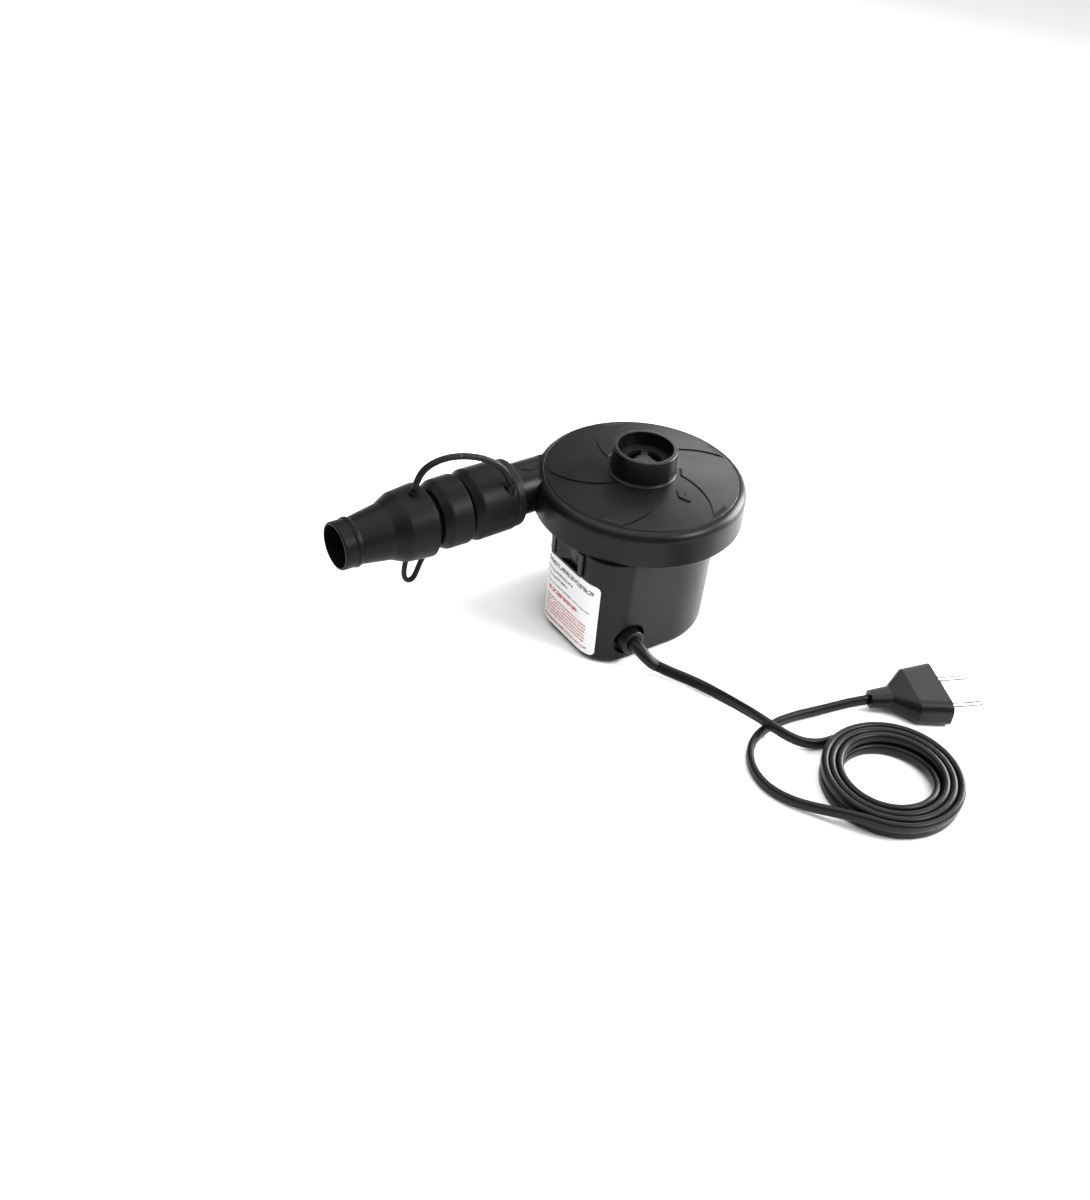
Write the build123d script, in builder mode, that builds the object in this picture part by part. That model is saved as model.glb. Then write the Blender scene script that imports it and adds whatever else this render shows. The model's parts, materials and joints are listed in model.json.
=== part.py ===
from build123d import *
import os
from math import cos, pi, radians, sin, tan

# Electric air mattress pump: a round blower head on a motor housing, with a tangential
# outlet that carries three nested nozzle adapters, a rocker switch and a mains lead.
# +Z is up along the impeller axis, the air leaves along -X, and the origin is the middle
# of the housing's underside. All sizes are in millimetres.

os.makedirs("parts", exist_ok=True)

# ------------------------------------------------------------------ driving dimensions
WALL = 2.2
HOUSING_RADIUS = 40.2        # round part of the motor housing, at its top
HOUSING_DRAFT = 0.9          # degrees that the walls lean in towards the base
HOUSING_FLOOR = 2.6
BASE_ROUND = 3.6             # rounding of the housing's bottom edge
BULGE_FACE_X = -46.3         # outer face of the bulge that holds the switch, at its top
BULGE_Y = -10.8              # middle of the bulge
BULGE_HALF_WIDTH = 28.4
BULGE_CORNER = 17.4

RIM_Z = 59.7                 # underside of the blower head
HEAD_RADIUS = 51.6
SHOULDER_Z = 77.3
SHOULDER_ROUND = 5.0
TOP_Z = 80.6                 # top surface beside the intake collar
COLLAR_TOP_Z = 93.1
COLLAR_RADIUS = 15.3
COLLAR_FOOT_RADIUS = 15.9
INTAKE_RADIUS = 13.4
GRILLE_SEAT_RADIUS = 13.2
GRILLE_Z = 84.0              # ledge that the intake grille sits on
BASE_PLATE = 2.5

OUTLET_Y = 28.8              # outlet axis: its distance from the impeller axis
OUTLET_Z = 68.0
DUCT_RADIUS = 12.9
DUCT_BORE = 10.3
SPIGOT_RADIUS = 12.6
SPIGOT_ROOT = 57.0           # distances along -X from the impeller axis
SPIGOT_END = 78.0
SLIDE_FIT = 0.05             # radial clearance of the adapters on each other

SHAFT_RADIUS = 2.5
SHAFT_FIT = 0.03             # radial clearance of the shaft in its bearings
MOTOR_RADIUS = 23.0
MOTOR_CENTRE_CLEAR = 0.4     # air gap between armature and magnets

SWITCH_Y = -8.5
SWITCH_Z = 52.4
SWITCH_WIDTH = 24.0
SWITCH_HEIGHT = 13.4
ROCKER_TILT = 10.0           # degrees that the rocker leans at rest

GLAND_X = -27.5
GLAND_Z = 13.6
CORD_RADIUS = 2.7            # half the width of the flat twin lead

# ------------------------------------------------------------------ places worked out
bulge_corners = [
    (BULGE_FACE_X + BULGE_CORNER, BULGE_Y + side * (BULGE_HALF_WIDTH - BULGE_CORNER))
    for side in (-1, 1)
]
gland_wall_y = BULGE_Y - BULGE_HALF_WIDTH + (RIM_Z - GLAND_Z) * tan(radians(HOUSING_DRAFT))
switch_face_x = BULGE_FACE_X + (RIM_Z - SWITCH_Z) * tan(radians(HOUSING_DRAFT))
plate_top = RIM_Z + BASE_PLATE

outlet_axis = Axis((0, OUTLET_Y, OUTLET_Z), (-1, 0, 0))
outlet_plane = Plane((0, OUTLET_Y, OUTLET_Z), x_dir=(0, 1, 0), z_dir=(-1, 0, 0))
outlet_profile = Plane((0, OUTLET_Y, OUTLET_Z), x_dir=(-1, 0, 0), z_dir=(0, 1, 0))


# ------------------------------------------------------------------ helpers
def turn(points, plane=Plane.XZ, axis=Axis.Z, mode=Mode.ADD):
    """Revolve a closed outline. A third value on a point rounds that corner."""
    with BuildSketch(plane) as outline:
        with BuildLine():
            Polyline(*[(p[0], p[1]) for p in points], close=True)
        make_face()
        for x, y, radius in [p for p in points if len(p) == 3]:
            fillet(outline.vertices().sort_by_distance((x, y, 0))[0], radius)
    revolve(outline.sketch, axis=axis, mode=mode)


def ring(inner, outer, low, high, plane=Plane.XY, mode=Mode.ADD):
    """A plain ring, or a disc where inner is 0, between two heights of a plane."""
    with BuildSketch(plane.offset(low)) as section:
        Circle(outer)
        if inner > 0:
            Circle(inner, mode=Mode.SUBTRACT)
    extrude(section.sketch, amount=high - low, mode=mode)


def housing_plan(grow, amount, low=RIM_Z, mode=Mode.ADD):
    """The housing's outline, grown by some amount, drawn down from a height with draft."""
    shrink = (RIM_Z - low) * tan(radians(HOUSING_DRAFT))
    with BuildSketch(Plane.XY.offset(low)) as plan:
        Circle(HOUSING_RADIUS - shrink + grow)
        with Locations(*bulge_corners):
            Circle(BULGE_CORNER - shrink + grow)
        make_hull()
    extrude(plan.sketch, amount=-amount, taper=HOUSING_DRAFT, mode=mode)


def pins(radius, low, high, places, mode=Mode.ADD):
    """Upright round pins at a list of places."""
    with BuildSketch(Plane.XY.offset(low)) as section:
        with Locations(*places):
            Circle(radius)
    extrude(section.sketch, amount=high - low, mode=mode)


def around(radius, count, first=0.0):
    """Places on a circle."""
    turns = [radians(first + 360 * k / count) for k in range(count)]
    return [(radius * cos(a), radius * sin(a)) for a in turns]


def save(piece, name):
    """Label a finished piece and write its STEP file."""
    piece.part.label = name
    export_step(piece.part, f"parts/{name}.step")


# ------------------------------------------------------------------ motor housing
tower_places = [around(30.6, 1, a)[0] for a in (62, -62, 152)]
TOWER_RADIUS = 4.2
TOWER_TOP = 50.0
vent_radius = 20.5
recess_radius = 8.6
recess_depth = 3.6
gland_plane = Plane((GLAND_X, gland_wall_y, GLAND_Z), x_dir=(1, 0, 0), z_dir=(0, -1, 0))

with BuildPart() as cavity:
    housing_plan(-WALL, RIM_Z - HOUSING_FLOOR)
    pins(TOWER_RADIUS, 0, TOWER_TOP, tower_places, mode=Mode.SUBTRACT)
    ring(0, recess_radius + WALL, -recess_depth - WALL, 5, gland_plane, Mode.SUBTRACT)

with BuildPart() as motor_housing:
    housing_plan(0, RIM_Z)
    fillet(motor_housing.edges().group_by(Axis.Z)[0], BASE_ROUND)
    add(cavity.part, mode=Mode.SUBTRACT)
    # counterbored screw towers, open from below
    pins(3.4, 0, 40, tower_places, Mode.SUBTRACT)
    pins(1.8, 40, TOWER_TOP, tower_places, Mode.SUBTRACT)
    # round recess for the cord gland, and the hole behind it
    ring(0, recess_radius, -recess_depth, 6, gland_plane, Mode.SUBTRACT)
    ring(0, 4.6, -12, 0, gland_plane, Mode.SUBTRACT)
    # switch window
    with Locations((BULGE_FACE_X, SWITCH_Y, SWITCH_Z)):
        Box(12, SWITCH_WIDTH - 2.4, SWITCH_HEIGHT - 1.2, mode=Mode.SUBTRACT)
    # cooling slots round the underside
    with BuildSketch() as slots:
        with PolarLocations(vent_radius, 12, start_angle=15):
            SlotOverall(11, 2.4)
    extrude(slots.sketch, amount=HOUSING_FLOOR, mode=Mode.SUBTRACT)
save(motor_housing, "motor_housing")

with BuildPart() as housing_screws:
    pins(3.1, 37.6, 40, tower_places)
    pins(1.4, 40, 57, tower_places)
    with BuildSketch(Plane.XY.offset(37.6)) as drives:
        with Locations(*tower_places):
            Rectangle(4, 0.8)
            Rectangle(0.8, 4)
    extrude(drives.sketch, amount=1.2, mode=Mode.SUBTRACT)
save(housing_screws, "housing_screws")

# ------------------------------------------------------------------ blower head
COVER_SCREW_CIRCLE = 46.2
cover_screw_places = [around(COVER_SCREW_CIRCLE, 1, a)[0] for a in (10, 70, 190, 250, 310)]
motor_screw_places = around(16.5, 2, 90)
PLATE_RADIUS = HEAD_RADIUS - WALL - 0.3

with BuildPart() as volute_base:
    ring(5.6, PLATE_RADIUS, RIM_Z, plate_top)
    # screw bosses that stand in the housing, and a lip that centres the head on it
    pins(TOWER_RADIUS, TOWER_TOP, RIM_Z, tower_places)
    pins(1.45, TOWER_TOP, RIM_Z - 1, tower_places, Mode.SUBTRACT)
    pins(1.35, RIM_Z, plate_top, cover_screw_places, Mode.SUBTRACT)
    pins(2.4, RIM_Z, RIM_Z + 1.4, cover_screw_places, Mode.SUBTRACT)
    pins(1.65, RIM_Z, plate_top, motor_screw_places, Mode.SUBTRACT)
    pins(3.2, plate_top - 1.5, plate_top, motor_screw_places, Mode.SUBTRACT)
    fillet(volute_base.edges().filter_by(GeomType.CIRCLE).sort_by(SortBy.RADIUS)[-1], 0.6)
save(volute_base, "volute_base")

shoulder_r = HEAD_RADIUS - 0.5
inner_wall_r = HEAD_RADIUS - WALL
slope = (TOP_Z - SHOULDER_Z) / (shoulder_r - COLLAR_FOOT_RADIUS)


def top_surface(r):
    """Height of the head's shallow cone at a radius."""
    return SHOULDER_Z + (shoulder_r - r) * slope


with BuildPart() as duct_bore:
    ring(0, DUCT_BORE, 32, SPIGOT_END, outlet_plane)
    with BuildSketch(outlet_plane.offset(32)) as wide:
        Circle(DUCT_BORE)
    with BuildSketch(outlet_plane.offset(8)) as narrow:
        Circle(6.4)
    loft([wide.sketch, narrow.sketch])
    # inside the head the passage's floor is the base plate
    with Locations((-22, OUTLET_Y, RIM_Z - 10)):
        Box(44, 40, 20, mode=Mode.SUBTRACT)
    # the passage stays a wall's thickness below the head's roof and the end of the duct
    roof_edge = shoulder_r - 0.4 + WALL
    turn(
        [
            (5, top_surface(5) - 0.6 - WALL),
            (roof_edge, top_surface(roof_edge) - 0.6 - WALL),
            (roof_edge, COLLAR_TOP_Z),
            (5, COLLAR_TOP_Z),
        ],
        mode=Mode.SUBTRACT,
    )

# five shallow spiral ribbons on the cone, each between two curves that wind outward
VANE_COUNT = 5
VANE_START = 136.0           # degrees, of the first ribbon's clockwise edge at 45 mm
VANE_SWEEP = 1.35            # degrees of winding for each millimetre outward


def vane_point(r, lead):
    """A point on a ribbon's edge; lead is how far that edge runs ahead, in degrees."""
    turn_to = radians(VANE_START + VANE_SWEEP * (45 - r) + lead)
    return (r * cos(turn_to), r * sin(turn_to))


with BuildPart() as vane_ribbons:
    with BuildSketch() as ribbon:
        with BuildLine():
            low = ThreePointArc(vane_point(18, 0), vane_point(31, 0), vane_point(46, 0))
            high = ThreePointArc(vane_point(18, 18), vane_point(31, 15.5), vane_point(46, 13.5))
            Line(low @ 1, high @ 1)
            Line(low @ 0, high @ 0)
        make_face()
    with BuildSketch(Plane.XY.offset(70)) as ribbons:
        with PolarLocations(0, VANE_COUNT):
            add(ribbon.sketch)
    extrude(ribbons.sketch, amount=16)
    turn(
        [
            (17, top_surface(17) - 0.6),
            (46.4, top_surface(46.4) - 0.6),
            (46.4, top_surface(46.4) + 0.1),
            (44.0, top_surface(44.0) + 0.5),
            (19.0, top_surface(19.0) + 0.5),
            (17, top_surface(17) + 0.1),
        ],
        mode=Mode.INTERSECT,
    )

# the duct runs into the head's side and stops at its rim
with BuildPart() as outlet_duct:
    ring(0, DUCT_RADIUS, 34, SPIGOT_ROOT, outlet_plane)
    with BuildSketch(outlet_plane.offset(34)) as duct_mouth:
        Circle(DUCT_RADIUS)
    with BuildSketch(outlet_plane.offset(10)) as duct_tail:
        Circle(9.4)
    loft([duct_mouth.sketch, duct_tail.sketch])
    turn(
        [
            (5, top_surface(5) - 0.6),
            (shoulder_r - 0.4, top_surface(shoulder_r) - 0.6),
            (shoulder_r - 0.4, COLLAR_TOP_Z),
            (5, COLLAR_TOP_Z),
        ],
        mode=Mode.SUBTRACT,
    )

with BuildPart() as volute_cover:
    turn(
        [
            (0, RIM_Z),
            (HEAD_RADIUS, RIM_Z, 0.8),
            (shoulder_r, SHOULDER_Z, SHOULDER_ROUND),
            (COLLAR_FOOT_RADIUS, TOP_Z, 1.4),
            (COLLAR_RADIUS, COLLAR_TOP_Z, 0.7),
            (0, COLLAR_TOP_Z),
        ]
    )
    add(outlet_duct.part)
    # room for the housing under the duct
    ring(0, HOUSING_RADIUS + 1.4, RIM_Z - 12, RIM_Z, mode=Mode.SUBTRACT)
    ring(0, SPIGOT_RADIUS, SPIGOT_ROOT, SPIGOT_END, outlet_plane)
    add(vane_ribbons.part)
    # blower chamber and intake
    turn(
        [
            (0, RIM_Z),
            (inner_wall_r, RIM_Z),
            (inner_wall_r - 0.5, SHOULDER_Z - WALL, SHOULDER_ROUND - WALL),
            (12, top_surface(12) - WALL),
            (12, GRILLE_Z),
            (GRILLE_SEAT_RADIUS, GRILLE_Z),
            (GRILLE_SEAT_RADIUS, GRILLE_Z + 2.8),
            (INTAKE_RADIUS, GRILLE_Z + 2.8),
            (INTAKE_RADIUS, COLLAR_TOP_Z),
            (0, COLLAR_TOP_Z),
        ],
        mode=Mode.SUBTRACT,
    )
    add(duct_bore.part, mode=Mode.SUBTRACT)
    # bosses that the cover screws go up into
    pins(3.3, plate_top, SHOULDER_Z - 1.5, cover_screw_places)
    pins(1.15, plate_top, 72, cover_screw_places, Mode.SUBTRACT)
    # fine groove round the shoulder
    with BuildSketch(Plane.XZ) as groove:
        with Locations((47.3, top_surface(47.3) + 0.12)):
            Circle(0.5)
    revolve(groove.sketch, axis=Axis.Z, mode=Mode.SUBTRACT)
save(volute_cover, "volute_cover")

SLOT_RADIUS = 6.4
with BuildPart() as intake_grille:
    with BuildSketch(Plane.XY.offset(GRILLE_Z)) as disc:
        Circle(GRILLE_SEAT_RADIUS - 0.1)
        for middle in (-128, -8, 112):
            slot_path = CenterArc((0, 0), SLOT_RADIUS, middle - 33, 66, mode=Mode.PRIVATE)
            SlotArc(slot_path, 4.4, mode=Mode.SUBTRACT)
    extrude(disc.sketch, amount=2)
    # lobed hub on top
    with BuildSketch(Plane.XY.offset(GRILLE_Z + 2)) as hub:
        Circle(3.4)
        with PolarLocations(4.6, 3, start_angle=52):
            Circle(1.9)
    extrude(hub.sketch, amount=0.7)
    fillet(intake_grille.faces().sort_by(Axis.Z)[-1].edges(), 0.4)
save(intake_grille, "intake_grille")

with BuildPart() as cover_screws:
    pins(2.2, RIM_Z, RIM_Z + 1.35, cover_screw_places)
    pins(1.1, RIM_Z + 1.35, 71, cover_screw_places)
    with BuildSketch(Plane.XY.offset(RIM_Z)) as cross_drives:
        with Locations(*cover_screw_places):
            Rectangle(2.6, 0.6)
            Rectangle(0.6, 2.6)
    extrude(cross_drives.sketch, amount=0.8, mode=Mode.SUBTRACT)
save(cover_screws, "cover_screws")

# ------------------------------------------------------------------ rotor
SHAFT_TOP = 79.6
IMPELLER_RADIUS = 42.0
IMPELLER_Z = 63.7
HUB_TOP = 74.4
BLADES = 9
BORE_GAP = 0.02

with BuildPart() as motor_shaft:
    ring(0, SHAFT_RADIUS, 8.8, SHAFT_TOP)
    chamfer(motor_shaft.edges().filter_by(GeomType.CIRCLE), 0.3)
save(motor_shaft, "motor_shaft")

with BuildPart() as impeller:
    turn(
        [
            (SHAFT_RADIUS + BORE_GAP, IMPELLER_Z),
            (IMPELLER_RADIUS, IMPELLER_Z),
            (IMPELLER_RADIUS, IMPELLER_Z + 1.5),
            (16, IMPELLER_Z + 1.9, 8),
            (7, HUB_TOP - 2, 2),
            (6, HUB_TOP, 0.8),
            (SHAFT_RADIUS + BORE_GAP, HUB_TOP),
        ]
    )
    with BuildSketch(Plane.XY.offset(IMPELLER_Z + 1)) as blade:
        with BuildLine():
            ThreePointArc((11.5, 0), (27.5, -6.5), (36.5, -20))
        trace(line_width=1.5)
    with BuildSketch(Plane.XY.offset(IMPELLER_Z + 1)) as blades:
        with PolarLocations(0, BLADES):
            add(blade.sketch)
    extrude(blades.sketch, amount=8.6)
save(impeller, "impeller")

with BuildPart() as impeller_nut:
    with BuildSketch(Plane.XY.offset(HUB_TOP)):
        RegularPolygon(4.6, 6)
        Circle(SHAFT_RADIUS + BORE_GAP, mode=Mode.SUBTRACT)
    extrude(amount=3.6)
save(impeller_nut, "impeller_nut")

CORE_RADIUS = 16.9
CORE_LOW = 27.0
CORE_HIGH = 47.0
CORE_SLOTS = 7
with BuildPart() as armature_core:
    with BuildSketch(Plane.XY.offset(CORE_LOW)):
        Circle(CORE_RADIUS)
        Circle(SHAFT_RADIUS + BORE_GAP, mode=Mode.SUBTRACT)
        with PolarLocations(11.6, CORE_SLOTS):
            Rectangle(7.4, 4.0, mode=Mode.SUBTRACT)
        with PolarLocations(16.2, CORE_SLOTS):
            Rectangle(3, 1.6, mode=Mode.SUBTRACT)
    extrude(amount=CORE_HIGH - CORE_LOW)
save(armature_core, "armature_core")

with BuildPart() as windings:
    with BuildSketch(Plane.XY.offset(23.2)) as wire_fill:
        with PolarLocations(11.6, CORE_SLOTS):
            Rectangle(6.8, 3.4)
    extrude(wire_fill.sketch, amount=27.2)
    for low, high in ((23.2, CORE_LOW), (CORE_HIGH, 50.6)):
        ring(6.2, 15.2, low, high)
    fillet(windings.edges().group_by(Axis.Z)[-1].filter_by(GeomType.CIRCLE), 1.2)
save(windings, "windings")

COMMUTATOR_RADIUS = 5.6
with BuildPart() as commutator:
    ring(SHAFT_RADIUS + BORE_GAP, COMMUTATOR_RADIUS, 16.9, 22.6)
    with BuildSketch(Plane.XY.offset(16.9)) as segment_gaps:
        with PolarLocations(COMMUTATOR_RADIUS, 14):
            Rectangle(1.2, 0.35)
    extrude(segment_gaps.sketch, amount=5.7, mode=Mode.SUBTRACT)
save(commutator, "commutator")

# ------------------------------------------------------------------ motor body
BEARING_RADIUS = 8.0
SEAT_FIT = 0.02
FRONT_BEARING_Z = 51.6
REAR_BEARING_Z = 10.0
BEARING_WIDTH = 5.0
CAN_LOW = 16.5
CAN_HIGH = 57.2

with BuildPart() as front_bracket:
    ring(3.2, MOTOR_RADIUS, CAN_HIGH, RIM_Z)
    ring(BEARING_RADIUS + SEAT_FIT, 10.5, FRONT_BEARING_Z, CAN_HIGH)
    ring(0, BEARING_RADIUS + SEAT_FIT, FRONT_BEARING_Z, FRONT_BEARING_Z + BEARING_WIDTH,
         mode=Mode.SUBTRACT)
    ring(BEARING_RADIUS - 3, 10.5, FRONT_BEARING_Z + BEARING_WIDTH, CAN_HIGH)
    pins(1.4, CAN_HIGH, RIM_Z, motor_screw_places, Mode.SUBTRACT)
    pins(2.6, CAN_HIGH, RIM_Z, around(16, 6, 0)[::3], Mode.SUBTRACT)
save(front_bracket, "front_bracket")

with BuildPart() as rear_bracket:
    ring(3.2, MOTOR_RADIUS, CAN_LOW - 2.5, CAN_LOW)
    ring(3.2, 10.5, REAR_BEARING_Z - 1.6, CAN_LOW - 2.5)
    ring(0, BEARING_RADIUS + SEAT_FIT, REAR_BEARING_Z, CAN_LOW, mode=Mode.SUBTRACT)
    pins(2.6, CAN_LOW - 2.5, CAN_LOW, around(16.5, 4, 45), Mode.SUBTRACT)
save(rear_bracket, "rear_bracket")

for bearing_name, seat in (("front_bearing", FRONT_BEARING_Z), ("rear_bearing", REAR_BEARING_Z)):
    with BuildPart() as bearing:
        ring(SHAFT_RADIUS + SHAFT_FIT, BEARING_RADIUS, seat, seat + BEARING_WIDTH)
        # shallow grooves between the races, on both faces
        ring(4.4, 6.4, seat, seat + 0.6, mode=Mode.SUBTRACT)
        ring(4.4, 6.4, seat + BEARING_WIDTH - 0.6, seat + BEARING_WIDTH, mode=Mode.SUBTRACT)
    save(bearing, bearing_name)

with BuildPart() as motor_can:
    ring(MOTOR_RADIUS - 1.4, MOTOR_RADIUS, CAN_LOW, CAN_HIGH)
    with BuildSketch(Plane.XZ.offset(MOTOR_RADIUS - 4)) as can_window:
        with Locations((0, 22)):
            SlotOverall(12, 5)
    extrude(can_window.sketch, amount=8, mode=Mode.SUBTRACT)
save(motor_can, "motor_can")

with BuildPart() as stator_magnets:
    with BuildSketch(Plane.XY.offset(25)):
        Circle(MOTOR_RADIUS - 1.45)
        Circle(CORE_RADIUS + MOTOR_CENTRE_CLEAR, mode=Mode.SUBTRACT)
        Rectangle(2 * MOTOR_RADIUS, 11, mode=Mode.SUBTRACT)
    extrude(amount=24.5)
save(stator_magnets, "stator_magnets")

BRUSH_Z = 19.6
with BuildPart() as brush_holders:
    with Locations((12.2, 0, BRUSH_Z - 0.1), (-12.2, 0, BRUSH_Z - 0.1)):
        Box(9.2, 6.0, 6.0)
        Box(9.2, 4.6, 4.4, mode=Mode.SUBTRACT)
save(brush_holders, "brush_holders")

with BuildPart() as carbon_brushes:
    with Locations((9.6, 0, BRUSH_Z), (-9.6, 0, BRUSH_Z)):
        Box(7.4, 4.4, 4.0)
save(carbon_brushes, "carbon_brushes")

with BuildPart() as motor_screws:
    pins(3.0, plate_top - 1.5, plate_top - 0.1, motor_screw_places)
    pins(1.35, 54.5, plate_top - 1.5, motor_screw_places)
    with BuildSketch(Plane.XY.offset(plate_top - 0.1)) as motor_drives:
        with Locations(*motor_screw_places):
            Rectangle(3.6, 0.7)
            Rectangle(0.7, 3.6)
    extrude(motor_drives.sketch, amount=-0.8, mode=Mode.SUBTRACT)
save(motor_screws, "motor_screws")

# ------------------------------------------------------------------ electrics
BOARD_X = -38.0
with BuildPart() as rectifier_board:
    with Locations((BOARD_X, -7, 18.4)):
        Box(1.6, 26, 31.6)
save(rectifier_board, "rectifier_board")

with BuildPart() as board_capacitor:
    with BuildSketch(Plane.YZ.offset(BOARD_X + 0.8)):
        with Locations((-12.5, 25)):
            Circle(5)
    extrude(amount=10)
    fillet(board_capacitor.edges().sort_by(Axis.X)[-1], 1)
save(board_capacitor, "board_capacitor")

with BuildPart() as rectifier_diodes:
    with Locations(*[(BOARD_X + 2.3, y, z) for y in (-1, 3) for z in (14, 24)]):
        Cylinder(1.4, 6)
save(rectifier_diodes, "rectifier_diodes")

# ------------------------------------------------------------------ rocker switch
FLANGE_X = switch_face_x - 0.12
FLANGE_THICKNESS = 1.4
PIVOT_X = FLANGE_X + 3.7
ROCKER_HALF = 4.95
CAVITY_HALF_WIDTH = 9.35
switch_plane = Plane((FLANGE_X, SWITCH_Y, SWITCH_Z), x_dir=(0, -1, 0), z_dir=(-1, 0, 0))

with BuildPart() as switch_body:
    with BuildSketch(switch_plane):
        RectangleRounded(SWITCH_WIDTH, SWITCH_HEIGHT, 1.2)
    extrude(amount=FLANGE_THICKNESS)
    fillet(switch_body.faces().sort_by(Axis.X)[0].outer_wire().edges(), 0.5)
    with BuildSketch(switch_plane):
        Rectangle(SWITCH_WIDTH - 2.8, SWITCH_HEIGHT - 1.6)
    extrude(amount=-13)
    with BuildSketch(switch_plane.offset(FLANGE_THICKNESS)):
        Rectangle(2 * CAVITY_HALF_WIDTH, 2 * ROCKER_HALF + 0.3)
    extrude(amount=-10, mode=Mode.SUBTRACT)
    with Locations((PIVOT_X, SWITCH_Y, SWITCH_Z)):
        Cylinder(1.0, SWITCH_HEIGHT - 1.9, mode=Mode.SUBTRACT)
save(switch_body, "switch_body")

ROCKER_REACH = 9.2
ROCKER_END = 8.0
ROCKER_BACK = 9.18
rocker_plane = Plane((PIVOT_X, SWITCH_Y, SWITCH_Z - ROCKER_HALF)).rotated((0, 0, ROCKER_TILT))
rocker_arc_x = -(ROCKER_REACH**2 - ROCKER_END**2) ** 0.5
rocker_mid_x = -((ROCKER_REACH**2 - 8.8**2) ** 0.5)
rocker_back_x = -((ROCKER_REACH**2 - ROCKER_BACK**2) ** 0.5)
with BuildPart() as rocker:
    with BuildSketch(rocker_plane) as rocker_plan:
        with BuildLine():
            Line((-3.0, 0), (rocker_arc_x, ROCKER_END))
            ThreePointArc(
                (rocker_arc_x, ROCKER_END), (rocker_mid_x, 8.8), (rocker_back_x, ROCKER_BACK)
            )
            Polyline((rocker_back_x, ROCKER_BACK), (2.4, 3), (2.4, 0), (-3.0, 0))
        make_face()
        mirror(about=Plane.XZ)
    extrude(rocker_plan.sketch, amount=2 * ROCKER_HALF)
    with Locations((PIVOT_X, SWITCH_Y, SWITCH_Z)):
        Cylinder(1.05, 2 * ROCKER_HALF, mode=Mode.SUBTRACT)
save(rocker, "rocker")

with BuildPart() as rocker_pin:
    with Locations((PIVOT_X, SWITCH_Y, SWITCH_Z)):
        Cylinder(0.98, SWITCH_HEIGHT - 2)
save(rocker_pin, "rocker_pin")

terminal_x = FLANGE_X + 13
with BuildPart() as switch_terminals:
    with Locations(*[(terminal_x + 2.6, SWITCH_Y + dy, SWITCH_Z) for dy in (-5.5, 0)]):
        Box(5.2, 0.8, 4.8)
        Box(1.4, 2, 1.4, mode=Mode.SUBTRACT)
save(switch_terminals, "switch_terminals")

# ------------------------------------------------------------------ rating label
LABEL_LOW = 3.6
LABEL_HIGH = 45.2
LABEL_HALF = 20.6
with BuildPart() as rating_label:
    housing_plan(0.25, RIM_Z)
    housing_plan(0, RIM_Z, mode=Mode.SUBTRACT)
    with BuildSketch(Plane.YZ.offset(-60)) as label_outline:
        with Locations((BULGE_Y, (LABEL_LOW + LABEL_HIGH) / 2)):
            RectangleRounded(2 * LABEL_HALF, LABEL_HIGH - LABEL_LOW, 2.6)
    extrude(label_outline.sketch, amount=24, mode=Mode.INTERSECT)
save(rating_label, "rating_label")

# ------------------------------------------------------------------ cord exit
GLAND_BORE = 3.6
GLAND_OUT = 3.9
with BuildPart() as cord_gland:
    ring(GLAND_BORE, 4.5, -7.5, -recess_depth, gland_plane)
    ring(GLAND_BORE, 6.2, -recess_depth, GLAND_OUT, gland_plane)
    fillet(cord_gland.faces().sort_by(Axis.Y)[0].edges(), 0.9)
save(cord_gland, "cord_gland")

# the strain relief bends down and thins out; each station is a middle, a heading, a radius
relief_stations = [
    ((GLAND_X, gland_wall_y - GLAND_OUT, GLAND_Z), (0, -1, 0), 3.5),
    ((-27.3, -46.4, 13.0), (0.10, -0.95, -0.26), 3.2),
    ((-25.9, -51.2, 10.4), (0.42, -0.76, -0.48), 3.0),
    ((-22.7, -55.4, 7.4), (0.64, -0.67, -0.36), 2.85),
]
with BuildPart() as strain_relief:
    ring(0, GLAND_BORE, -7, GLAND_OUT - 0.6, gland_plane)
    ring(0, 3.5, GLAND_OUT - 0.6, GLAND_OUT, gland_plane)
    sections = []
    for middle, heading, radius in relief_stations:
        with BuildSketch(Plane(middle, x_dir=(0.9, 0.4, 0), z_dir=heading)) as station:
            Circle(radius)
        sections.append(station.sketch)
    loft(sections)
save(strain_relief, "strain_relief")


def cord_tube(route, name, tube_radius=CORD_RADIUS):
    """A tube along straight runs joined by arcs as large as the runs allow."""
    points = [Vector(*p) for p in route]
    radii = []
    for before, here, after in zip(points, points[1:], points[2:]):
        bend = radians((here - before).get_angle(after - here))
        shorter = min((here - before).length, (after - here).length)
        radii.append(0.45 * shorter / tan(bend / 2))
    print(name, "arc radii", [round(r, 1) for r in radii])
    with BuildPart() as tube:
        with BuildLine() as path:
            FilletPolyline(*points, radius=radii)
        with BuildSketch(Plane(path.line @ 0, z_dir=path.line % 0)):
            Circle(tube_radius)
        sweep()
    length = path.wires()[0].length
    ratio = tube.part.volume / (pi * tube_radius**2 * length)
    print(name, "length", round(length, 1), "volume over section times length", round(ratio, 4))
    save(tube, name)
    return tube


# the lead lies down on the floor, then humps over its own last loop on its way to the coil
lead_route = [
    (-22.7, -55.4, 7.4),
    (-17.6, -60.7, 5.0),
    (-12.6, -66.6, 3.6),
    (-8.7, -73.8, 3.0),
    (-6.3, -82.0, 3.4),
    (-5.2, -90.8, 4.9),
    (-4.7, -99.6, 6.8),
    (-4.1, -107.6, 8.3),
    (-2.6, -115.2, 8.3),
    (0.8, -122.2, 6.3),
    (6.0, -128.0, 4.2),
    (12.6, -131.6, 3.0),
    (20.0, -133.2, 2.8),
]
power_cord = cord_tube(lead_route, "power_cord")

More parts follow.
